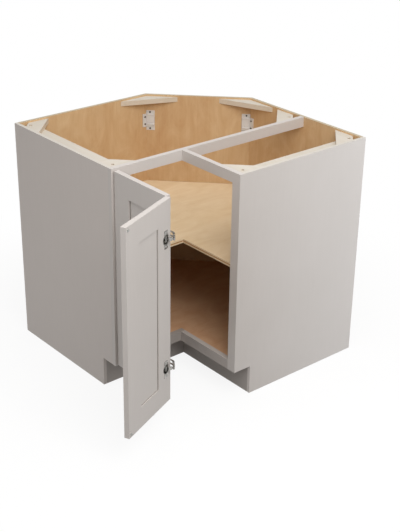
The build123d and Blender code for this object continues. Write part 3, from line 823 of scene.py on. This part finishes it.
# %% Pieces of both hinges
CHANNEL_TOP, CHANNEL_GAP, CHEEK_TOP, COVER_TOP = 6.3 * MM, 2.3 * MM, 8.1 * MM, 6.2 * MM
CHANNEL_WIDTH, CHANNEL_EYE, COVER_WIDTH, COVER_EYE = 4 * MM, 3.2 * MM, 4.2 * MM, 3.3 * MM
WEB_THICKNESS, CHEEK_THICKNESS, FOOT_THICKNESS = 1.2 * MM, 1.5 * MM, 2 * MM
FOOT_SCREW_LIFT, ARM_SCREW_INSET, BASE_SCREW_INSET = 19.5 * MM, 11.5 * MM, 8.2 * MM
PIVOT_RIVET, FOOT_SCREW = (2.7 * MM, 0.9 * MM), (3.4 * MM, 1.6 * MM)


def pivot_head(plan, level, lift):
    """Rivet head on a pivot, over or under a hinge's middle level."""
    return rivet(at(plan, level + lift), (0, 0, math.copysign(1, lift)), *PIVOT_RIVET)


def foot_screws(low, inset, level):
    """Two screws in a flat foot, from the low corner of its box."""
    spots = [(low.x + inset, low.y + FOOT_THICKNESS, level + lift)
             for lift in (-FOOT_SCREW_LIFT, FOOT_SCREW_LIFT)]
    return [screw(spot, (0, 1, 0), *FOOT_SCREW) for spot in spots]


for place, level in hinge_levels.items():
    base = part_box(f"{place}_frame_hinge_base")[0]
    lower_bar = bar([arm_pin, knuckle], CHANNEL_WIDTH, CHANNEL_EYE, level - CHANNEL_TOP,
                    level - CHANNEL_GAP)
    back_web = web(web_path, level - CHANNEL_TOP, level + CHANNEL_TOP, WEB_THICKNESS)
    cover = bar([leaving, bend, cup_pin], COVER_WIDTH, COVER_EYE, level - COVER_TOP,
                level + COVER_TOP, first=False)
    lower_cheek = plate(cheek, level - CHEEK_TOP, level - CHEEK_TOP + CHEEK_THICKNESS)
    hinge_pieces = {
        "fold_channel": ("fold_levers", [lower_bar, back_web]),
        "fold_cover": ("fold_couplers", [cover]),
        "fold_cheek": ("left_door", [lower_cheek]),
        "arm_rivets": ("left_door", [pivot_head(arm_pin, level, lift)
                                     for lift in (CHEEK_TOP, -CHEEK_TOP)]),
        "knuckle_rivets": ("fold_levers", [pivot_head(knuckle, level, lift)
                                           for lift in (CHANNEL_TOP, -CHANNEL_TOP)]),
        "base_rivets": ("cabinet", [pivot_head(lever_base, level, CHEEK_TOP),
                                    pivot_head(second_base, level, -CHEEK_TOP)]),
        "lever_rivet": ("levers", [pivot_head(lever_end, level, CHANNEL_TOP)]),
        "tail_rivet": ("couplers", [pivot_head(second_end, level, -CHANNEL_TOP)]),
        "arm_screws": ("left_door", foot_screws(foot, ARM_SCREW_INSET, level)),
        "base_screws": ("cabinet", foot_screws(base, BASE_SCREW_INSET, level))}
    for word, (body, grids) in hinge_pieces.items():
        piece(f"{place}_{word}", grids, body, nickel)
print("all metal of the hinges:", len(made_pieces), "pieces")

# %% [markdown]
# ## Painted shade round the door panels
# Each panel floats in the grooves of its frame, so that it can swell and shrink. Where it dives
# under the stiles and rails the corner falls into shade, and a thin dark line is painted there as
# painted shade. The four lines on either face of a panel are flat dark beads that lie in the corner
# between the panel and its frame. The left door's own stiles and rails say where that corner is, and
# the right door is alike.

# %% Painted shade lines
# Painted shade: the dark finish of the beads, standing in for the shade in the panel corners.
shadow = Finish("groove_shadow", Roughness=0.8, Specular_IOR_Level=0.2)
mottle = shadow.noise((80, 80, 12), 3)
shadow.feed(Base_Color=shadow.mix(0.5 + mottle, tone("#8A827C"), tone("#6F6761")),
            Roughness=0.8 + mottle * 0.2)

stile_width = outer_high.x - outer_low.x
panel_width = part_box("left_door_inner_stile")[0].x - outer_high.x
panel_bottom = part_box("left_door_bottom_rail")[1].z
panel_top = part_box("left_door_top_rail")[0].z
PANEL_BACK, PANEL_FRONT = 15.5 * MM, 6.0 * MM
FOLD_GAP = 1.1 * MM
STILE_BEAD, RAIL_BEAD = 3.0, 1.8


def bead(start, end, aside, out, width):
    """Flat bead from one point to another, with its width in millimetres.

    It is a loop of six points that rises to 0.3 mm over a tenth of the width at either side.
    """
    share, lift = np.array((0, 0, 0.1, 0.9, 1.0, 1.0)), np.array((-0.3, 0.2, 0.3, 0.3, 0.2, -0.3))
    loop = MM * (width * share[:, None] * aside + lift[:, None] * out)
    return np.stack([start + loop, end + loop])


for side, (corner, run, reach) in doors.items():
    inward, along = np.array((-run[1], run[0])), at(run, 0)
    gap = FOLD_GAP if side == "right" else 0
    beads = []
    for depth, sign in ((PANEL_BACK, 1), (PANEL_FRONT, -1)):
        out = sign * at(inward, 0)
        near = corner + run * (gap + stile_width) + inward * depth
        far = near + run * panel_width
        beads += [bead(at(near, panel_bottom), at(near, panel_top), along, out, STILE_BEAD),
                  bead(at(far, panel_bottom), at(far, panel_top), -along, out, STILE_BEAD),
                  bead(at(near, panel_bottom), at(far, panel_bottom), UP, out, RAIL_BEAD),
                  bead(at(near, panel_top), at(far, panel_top), -UP, out, RAIL_BEAD)]
    piece(f"{side}_panel_painted_shade_lines", beads, f"{side}_door", shadow)
print("panels of", round(panel_width, 3), "by", round(panel_top - panel_bottom, 3), "m show")

# %% [markdown]
# ## Seam brackets
# Where the diagonal back meets the other two, a moulded bracket holds the seam. Its raised block
# has fine ribs, which keep a moulding stiff and catch the light as thin lines, and a thicker lip
# below. The ribs are one wave carried across the block. Four dark screws hold each bracket.

# %% Ribs of a bracket


def ribs(corner, along, out, middle):
    """Ribbed skin of a bracket's block, from 2 to 32 mm along it.

    At the height h from the middle the skin stands 0.45 (1 - cos(2 pi h / 5.4)) mm proud of the
    block, where h is within 16.3 mm of 3.3 mm. A lip of 3 exp(-((h + 16.5) / 2.6)^4) mm lies below
    the ribs and one of 2 exp(-((h - 22) / 1.7)^4) mm above. The skin sinks into the block at both
    sides. All numbers inside are in millimetres.
    """
    block_face, sunk = 6.02, 5.2
    h = np.linspace(-24.3, 24.3, 91)
    wave = 0.45 * (1 - np.cos(2 * np.pi * h / 5.4)) * (abs(h - 3.3) < 16.3)
    lips = 3.0 * np.exp(-((h + 16.5) / 2.6) ** 4) + 2.0 * np.exp(-((h - 22) / 1.7) ** 4)
    height = np.concatenate([h, h[::-1]])
    proud = np.concatenate([block_face + wave + lips, np.full(h.size, sunk)])
    rise = np.array((0, 0.75, 1, 1, 0.75, 0))[:, None]
    aside = np.array((2.0, 2.6, 3.6, 30.4, 31.4, 32.0))[:, None]
    depth = np.where(proud > 6, block_face + (proud - block_face) * rise, proud)
    return at(corner, middle) + MM * (aside[..., None] * at(along, 0) + depth[..., None] * at(out, 0)
                                      + height[:, None] * UP)


blackened = Finish("blackened_screw", Metallic=0.7)
wear = blackened.noise((600, 600, 600), 3)
blackened.feed(Base_Color=blackened.mix(0.5 + wear, tone("#4A413C"), tone("#2E2825")),
               Roughness=0.42 + wear * 0.2)
print("screws", blackened.material.name)

# %% [markdown]
# ## Both brackets from one
# The cabinet is symmetric about its diagonal, so the right bracket is the left one with x and y
# swapped and their signs changed. Each has a leaf on the diagonal back, with the block and two
# screws, and a leaf on the straight back, with the other two.

# %% Ribs and dark screws
LEAF_WIDTH = 20 * MM
BLOCK_SPOT, LEAF_SPOT = (15, 2, 34.3), (10, 4, 15)
DARK_SCREW = (3.7 * MM, 1.7 * MM)
bracket_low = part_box("left_seam_bracket")[0]
diagonal, facing = np.array((1, 1)) / math.sqrt(2), np.array((1, -1)) / math.sqrt(2)
seam = np.array((bracket_low.x, bracket_low.y + LEAF_WIDTH))
middle = middle_level("left_seam_bracket")
brackets = {"left": (seam, diagonal, np.array((0, -1)), np.array((1, 0))),
            "right": (-seam[::-1], -diagonal, np.array((1, 0)), np.array((0, -1)))}


def dark_screws(corner, along, out, spot):
    """Two dark screws on a leaf: so far along it, out of it, and below and above its middle, in mm."""
    reach, proud, lift = spot
    plan = corner + MM * (reach * along + proud * out)
    return [screw(at(plan, middle + level), at(out, 0), *DARK_SCREW)
            for level in (-lift * MM, lift * MM)]


for side, (corner, along, leaf, leaf_out) in brackets.items():
    heads = dark_screws(corner, along, facing, BLOCK_SPOT)
    heads += dark_screws(corner, leaf, leaf_out, LEAF_SPOT)
    piece(f"{side}_bracket_ribs", [ribs(corner, along, facing, middle)], "cabinet", resin)
    piece(f"{side}_bracket_screws", heads, "cabinet", blackened)
print("all", len(made_pieces), "pieces,", sum(len(made.data.polygons) for made in made_pieces), "faces")

# %% [markdown]
# ## The studio
# The picture has a white ground with the cabinet standing calmly on it. So the floor and the air
# are white to the camera, while the light that they send back on the cabinet is that of a mid
# grey studio, or the toe space and the low parts of the sides would wash out. Close to the cabinet
# the floor shows some of its own shading, which keeps the soft shadow; one and a half metres from
# the middle it is plain white.

# %% Floor finish
FLOOR_BOUNCE = "#6C6C6C"
WHITE = (1.0, 1.0, 1.0, 1.0)
SHADED_RADIUS, WHITE_RADIUS, SHADED_GLOW = 0.75, 1.5, 0.88


def seen(finish):
    """1 where the camera, a mirror or glass looks, 0 where plain light arrives."""
    path = [finish.node("ShaderNodeLightPath", output=name)
            for name in ("Is Camera Ray", "Is Glossy Ray", "Is Transmission Ray")]
    return finish.node("ShaderNodeMath", {"operation": "MINIMUM"},
                       {0: path[0] + path[1] + path[2], 1: 1.0})


floor_finish = Finish("studio_floor", Roughness=0.9, Specular_IOR_Level=0.1)
looked_at = seen(floor_finish)
floor_finish.feed(Base_Color=floor_finish.mix(looked_at, tone(FLOOR_BOUNCE), WHITE))
distance = floor_finish.node("ShaderNodeVectorMath", {"operation": "LENGTH"}, {0: floor_finish.place},
                             output="Value")
glowing = floor_finish.node("ShaderNodeMapRange", {"interpolation_type": "SMOOTHSTEP"},
                            {"Value": distance, "From Min": SHADED_RADIUS, "From Max": WHITE_RADIUS,
                             "To Min": SHADED_GLOW, "To Max": 1.0})
glow = floor_finish.node("ShaderNodeEmission", None, {"Color": WHITE, "Strength": 1.0})
shaded = Wire(floor_finish, floor_finish.shader.outputs[0])
blend = floor_finish.node("ShaderNodeMixShader", None, {0: looked_at * glowing, 1: shaded, 2: glow})
surface = floor_finish.tree.nodes["Material Output"].inputs["Surface"]
floor_finish.tree.links.new(blend.socket, surface)
print("the floor is plain white", WHITE_RADIUS, "m from the middle")

# %% [markdown]
# ## The floor's sheet
# The floor is a flat grid of quads, twelve metres wide, so that its edge stays outside every view.

# %% Floor mesh
FLOOR_HALF = 6
squares = 24
across_floor, up_floor = np.meshgrid(*[np.linspace(-FLOOR_HALF, FLOOR_HALF, squares + 1)] * 2)
points = np.stack([across_floor.ravel(), up_floor.ravel(), np.zeros(across_floor.size)], 1)
corner = (np.arange(squares)[:, None] * (squares + 1) + np.arange(squares)).ravel()
quads = np.stack([corner, corner + 1, corner + squares + 2, corner + squares + 1], 1)
floor_mesh = bpy.data.meshes.new("studio_floor")
floor_mesh.from_pydata(points.tolist(), [], quads.tolist())
floor_mesh.materials.append(floor_finish.material)
floor = bpy.data.objects.new("studio_floor", floor_mesh)
bpy.context.scene.collection.objects.link(floor)
print("floor of", len(quads), "squares")

# %% [markdown]
# ## Air and lamps
# The air lights everything evenly, a little warm, and is plain white to the camera. The key lamp
# stands to the right and above, and makes the right end board the lightest face. A weak lamp in
# front keeps the open doors from going dull, and one straight above reaches into the box. Their
# levels come from a fit: the cabinet was lit by one lamp at a time, and the sum of these pictures
# that came closest to the photograph gave each lamp its share.

# %% Air and lamps
AIR_COLOUR, AIR_LEVEL = (1.0, 0.985, 0.97, 1), 0.5
LAMPS = {"key_lamp": ((2.35, -0.75, 3.0), 2.0, 0.54),
         "front_lamp": ((1.6, -2.6, 2.2), 1.6, 0.09),
         "top_lamp": ((0.0, 0.0, 4.2), 2.0, 0.16)}
AIM = Vector((0, 0, 0.5))

world = bpy.data.worlds.new("studio_air")
bpy.context.scene.world = world
world.use_nodes = True
air = world.node_tree
path = air.nodes.new("ShaderNodeLightPath")
choice = air.nodes.new("ShaderNodeMixShader")
ambient, white = air.nodes["Background"], air.nodes.new("ShaderNodeBackground")
for background, colour, strength in ((ambient, AIR_COLOUR, AIR_LEVEL), (white, WHITE, 1.0)):
    background.inputs["Color"].default_value = colour
    background.inputs["Strength"].default_value = strength
air.links.new(path.outputs["Is Camera Ray"], choice.inputs[0])
air.links.new(ambient.outputs[0], choice.inputs[1])
air.links.new(white.outputs[0], choice.inputs[2])
air.links.new(choice.outputs[0], air.nodes["World Output"].inputs["Surface"])


def lamp(name, spot, size, level):
    """Square lamp of a size in metres; at level 1 it lights what faces it to its own colour.

    The power is pi squared times the distance squared times the level.
    """
    spot = Vector(spot)
    light = bpy.data.lights.new(name, "AREA")
    light.size = size
    light.energy = level * (math.pi * (spot - AIM).length) ** 2
    made = bpy.data.objects.new(name, light)
    made.location = spot
    made.rotation_euler = (AIM - spot).to_track_quat("-Z", "Y").to_euler()
    bpy.context.scene.collection.objects.link(made)
    print(name, round(light.energy, 1), "W")


for name, (spot, size, level) in LAMPS.items():
    lamp(name, spot, size, level)
bpy.context.scene.view_settings.view_transform = "Standard"
